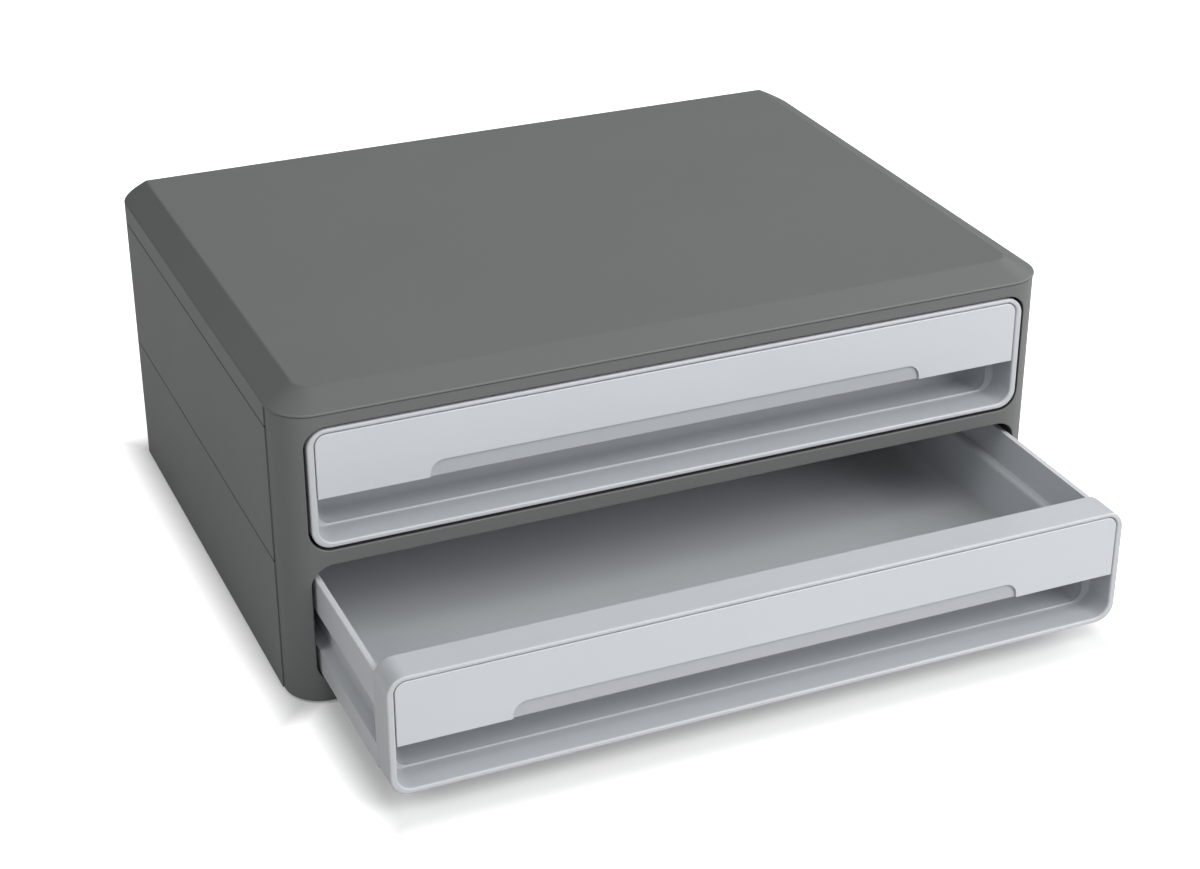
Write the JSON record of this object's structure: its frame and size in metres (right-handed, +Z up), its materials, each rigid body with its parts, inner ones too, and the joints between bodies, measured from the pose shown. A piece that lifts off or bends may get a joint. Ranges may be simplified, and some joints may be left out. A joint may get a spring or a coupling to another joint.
{
  "type": "monitor stand with drawers",
  "caption": "Low dark grey desktop monitor stand with a flat top and stacked full-width pale grey drawers; the lower drawer is pulled part way out.",
  "frame": {"origin": "the middle of the footprint, the pulled-out drawer included, at desk level", "axes": "+X to the right as seen from the front, +Y from the front to the back, +Z up"},
  "size_m": [0.376, 0.3678, 0.1501],
  "materials": {
    "case_plastic": "satin dark grey, finely textured moulding",
    "drawer_plastic": "satin light cool grey moulding",
    "panel_plastic": "smooth, slightly glossier pale cool grey moulding",
    "runner_plastic": "smooth black low-friction plastic",
    "stop_plastic": "smooth mid grey plastic",
    "rubber": "matt black rubber",
    "screw_steel": "zinc plated steel"
  },
  "bodies": {
    "cabinet": {"top_cover": "case_plastic", "front_frame": "case_plastic", "lower_housing": "case_plastic", "upper_housing": "case_plastic", "lower_left_runner": "runner_plastic", "lower_right_runner": "runner_plastic", "upper_left_runner": "runner_plastic", "upper_right_runner": "runner_plastic", "tie_screws": "screw_steel", "lower_runner_screws": "screw_steel", "upper_runner_screws": "screw_steel", "front_left_foot": "rubber", "front_right_foot": "rubber", "rear_left_foot": "rubber", "rear_right_foot": "rubber", "lower_left_buffer": "rubber", "lower_right_buffer": "rubber", "upper_left_buffer": "rubber", "upper_right_buffer": "rubber"},
    "lower_drawer": {"lower_drawer_tray": "drawer_plastic", "lower_drawer_surround": "drawer_plastic", "lower_front_panel": "panel_plastic", "lower_front_screws": "screw_steel", "lower_left_stop": "stop_plastic", "lower_right_stop": "stop_plastic"},
    "upper_drawer": {"upper_drawer_tray": "drawer_plastic", "upper_drawer_surround": "drawer_plastic", "upper_front_panel": "panel_plastic", "upper_front_screws": "screw_steel", "upper_left_stop": "stop_plastic", "upper_right_stop": "stop_plastic"}
  },
  "joints": [
    {"name": "lower_drawer_slide", "type": "slide", "parent": "cabinet", "child": "lower_drawer", "axis": [0, -1, 0], "range_m": [-0.094, 0.096]},
    {"name": "upper_drawer_slide", "type": "slide", "parent": "cabinet", "child": "upper_drawer", "axis": [0, -1, 0], "range_m": [0, 0.19]}
  ]
}
